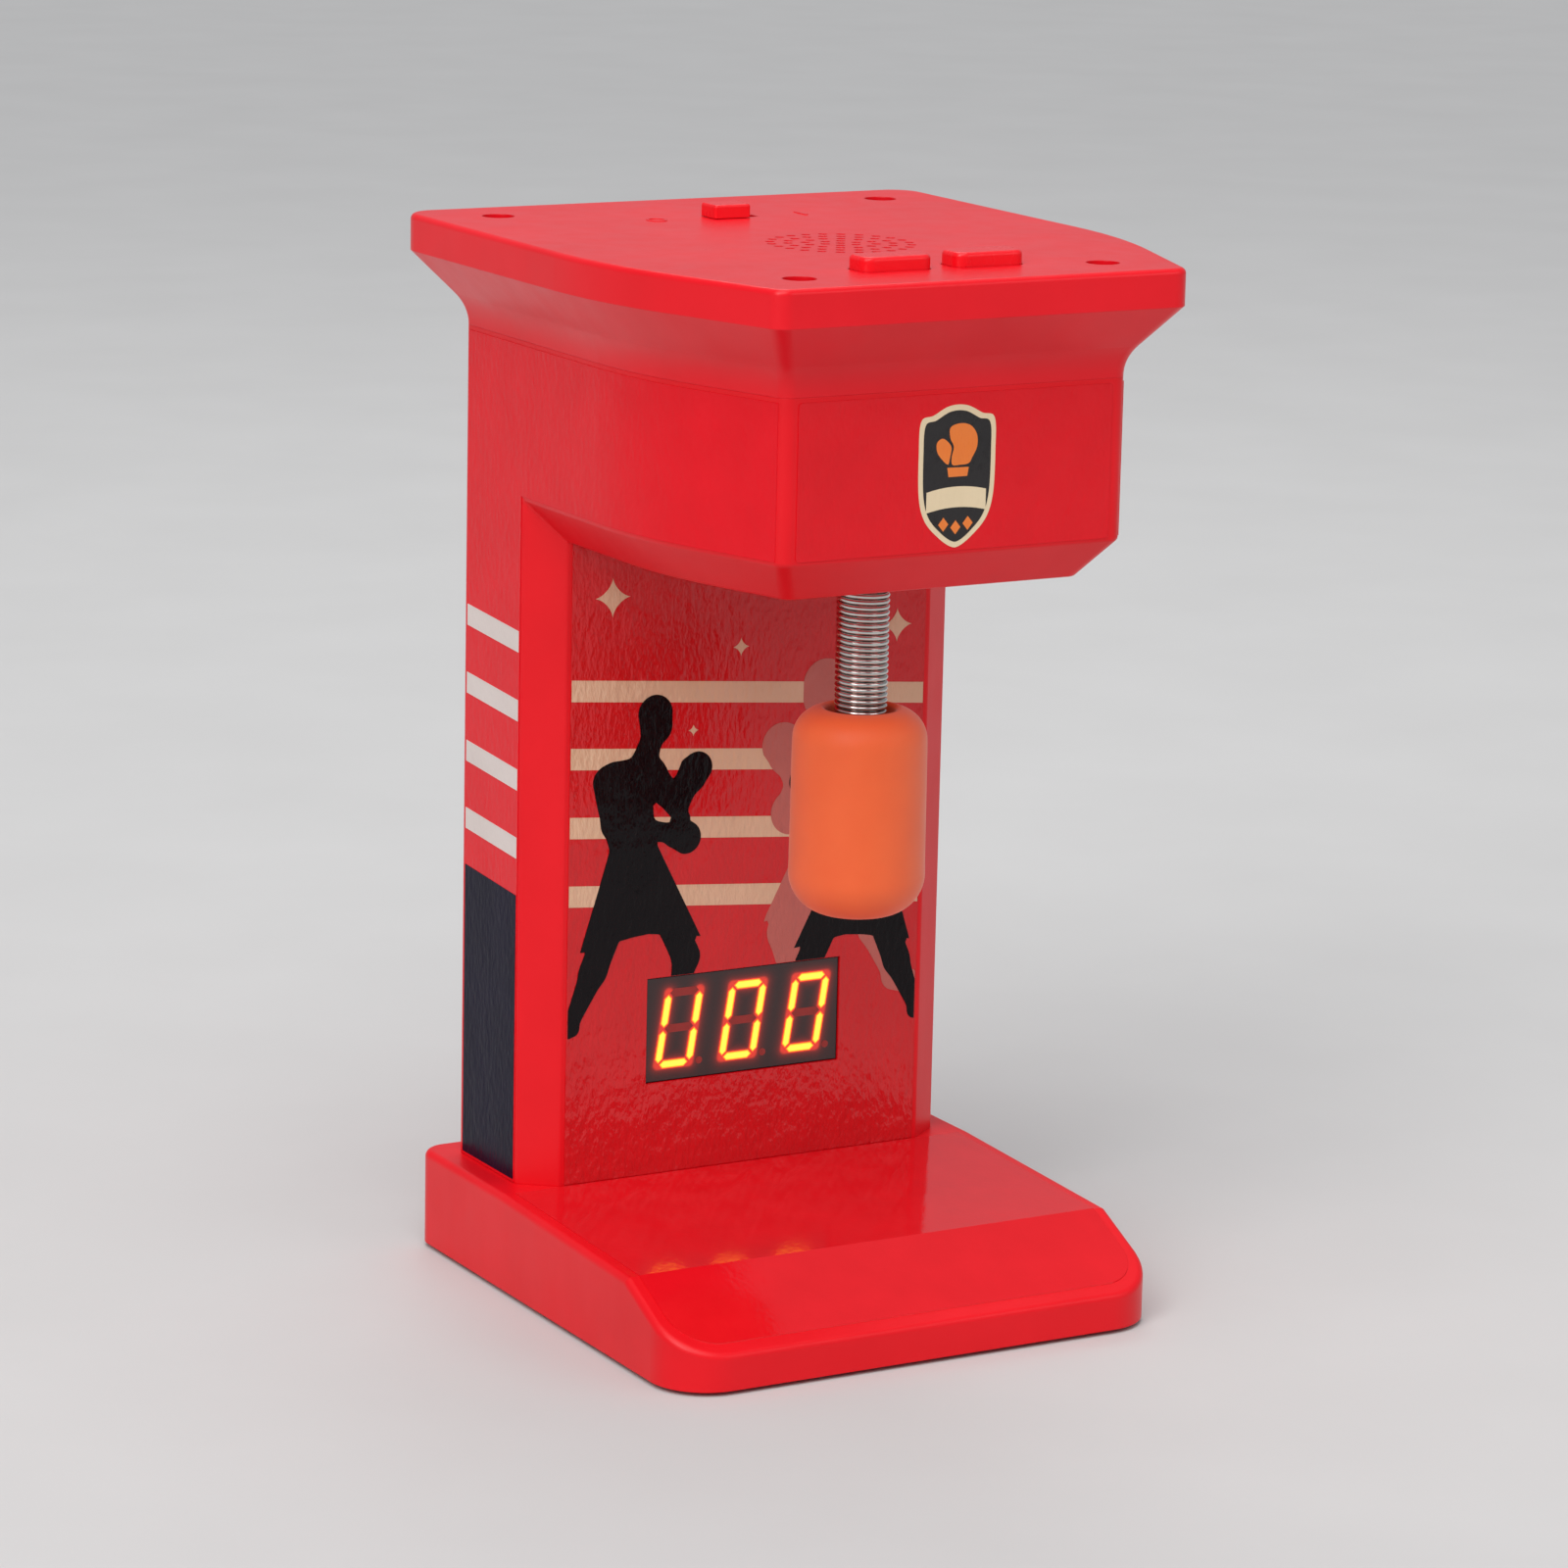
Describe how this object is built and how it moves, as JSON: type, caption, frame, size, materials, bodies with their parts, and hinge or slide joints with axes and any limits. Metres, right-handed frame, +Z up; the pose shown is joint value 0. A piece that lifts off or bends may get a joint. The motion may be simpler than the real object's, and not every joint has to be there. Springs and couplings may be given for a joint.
{
  "type": "tabletop boxing punch machine",
  "caption": "Tabletop boxing arcade machine: a small punch bag hangs on a spring from the overhanging head, above a sloping base, with a digital score display on the column.",
  "frame": {"origin": "On the resting surface, under the middle of the overall box: the feet stand on Z = 0.", "axes": "+Z up; the player stands at -Y and hits the bag towards +Y; X runs across the machine, which is symmetrical left to right apart from the power knob."},
  "size_m": [0.1008, 0.1114, 0.1864],
  "materials": {
    "red_plastic": "satin",
    "cap_plastic": "satin",
    "control_plastic": "satin",
    "black_plastic": "satin",
    "foot_rubber": "matte",
    "bag_rubber": "matte",
    "core_plastic": "satin",
    "spring_chrome": "polished",
    "screw_steel": "satin",
    "switch_steel": "satin",
    "board_green": "satin",
    "component_black": "satin",
    "connector_white": "satin",
    "sensor_brass": "satin",
    "contact_nickel": "satin",
    "cell_wrap": "satin",
    "speaker_steel": "satin",
    "cone_paper": "matte",
    "magnet_ferrite": "matte",
    "display_face": "gloss",
    "display_lit": "gloss",
    "display_dark": "gloss",
    "panel_print": "gloss",
    "side_print": "gloss",
    "head_print": "gloss",
    "base_print": "gloss"
  },
  "bodies": {
    "cabinet": {"base_tray": "red_plastic", "base_cover": "red_plastic", "rubber_feet": "foot_rubber", "base_screws": "screw_steel", "column_screws": "screw_steel", "cabinet_shell": "red_plastic", "cap": "cap_plastic", "cap_screws": "screw_steel", "tact_switches": "component_black", "button_board": "board_green", "control_board_screws": "screw_steel", "slide_switch": "switch_steel", "slider_board": "board_green", "speaker_frame": "speaker_steel", "speaker_cone": "cone_paper", "speaker_magnet": "magnet_ferrite", "speaker_clamp": "black_plastic", "speaker_screws": "screw_steel", "spring_hub": "core_plastic", "hub_screws": "screw_steel", "spring_pin": "core_plastic", "pin_screw": "screw_steel", "hit_sensor": "sensor_brass", "spring_top_coils": "spring_chrome", "back_cover": "red_plastic", "cover_screws": "screw_steel", "battery_1": "cell_wrap", "battery_2": "cell_wrap", "battery_3": "cell_wrap", "battery_contacts": "contact_nickel", "battery_springs": "contact_nickel", "main_board": "board_green", "main_board_screws": "screw_steel", "controller_blob": "component_black", "capacitors": "component_black", "wire_connectors": "connector_white", "display_module": "display_face", "display_segments_lit": "display_lit", "display_segments_dark": "display_dark", "display_board": "board_green", "display_board_screws": "screw_steel", "board_header": "component_black", "panel_sticker": "panel_print", "side_sticker_left": "side_print", "side_sticker_right": "side_print", "head_sticker": "head_print", "base_sticker": "base_print"},
    "left_button": {"button_left": "control_plastic"},
    "right_button": {"button_right": "control_plastic"},
    "power_slider": {"power_knob": "control_plastic", "switch_lever": "black_plastic"},
    "battery_hatch": {"battery_door": "red_plastic", "door_screw": "screw_steel"},
    "spring_link_a": {"spring_coils_a": "spring_chrome"},
    "spring_link_b": {"spring_coils_b": "spring_chrome"},
    "spring_link_c": {"spring_coils_c": "spring_chrome"},
    "bag": {"spring_bottom_coils": "spring_chrome", "bag_core": "core_plastic", "punch_bag": "bag_rubber"}
  },
  "joints": [
    {"name": "swing_upper", "type": "hinge", "parent": "cabinet", "child": "spring_link_a", "pos_m": [0, -0.01865, 0.127], "axis": [1, 0, 0], "range_deg": [-25, 18], "stiffness_Nm_per_rad": 0.024, "deforming": ["spring_top_coils", "spring_coils_a"]},
    {"name": "sway_upper", "type": "hinge", "parent": "spring_link_a", "child": "spring_link_b", "pos_m": [0, -0.01865, 0.122], "axis": [0, 1, 0], "range_deg": [-20, 20], "stiffness_Nm_per_rad": 0.024, "deforming": ["spring_coils_b"]},
    {"name": "swing_lower", "type": "hinge", "parent": "spring_link_b", "child": "spring_link_c", "pos_m": [0, -0.01865, 0.117], "axis": [1, 0, 0], "range_deg": [-25, 18], "stiffness_Nm_per_rad": 0.024, "deforming": ["spring_coils_c"]},
    {"name": "sway_lower", "type": "hinge", "parent": "spring_link_c", "child": "bag", "pos_m": [0, -0.01865, 0.112], "axis": [0, 1, 0], "range_deg": [-20, 20], "stiffness_Nm_per_rad": 0.024, "deforming": ["spring_bottom_coils"]},
    {"name": "left_button_press", "type": "slide", "parent": "cabinet", "child": "left_button", "axis": [0, 0, 1], "range_m": [-0.0012, 0], "stiffness_N_per_m": 400, "springref_m": 0.0006},
    {"name": "right_button_press", "type": "slide", "parent": "cabinet", "child": "right_button", "axis": [0, 0, 1], "range_m": [-0.0012, 0], "stiffness_N_per_m": 400, "springref_m": 0.0006},
    {"name": "power_slide", "type": "slide", "parent": "cabinet", "child": "power_slider", "axis": [1, 0, 0], "range_m": [0, 0.004]},
    {"name": "battery_door_lift", "type": "slide", "parent": "cabinet", "child": "battery_hatch", "axis": [0, 1, 0], "range_m": [0, 0.03]}
  ],
  "couplings": [
    {"joint": "swing_lower", "follows": "swing_upper", "ratio": 1},
    {"joint": "sway_lower", "follows": "sway_upper", "ratio": 1}
  ]
}
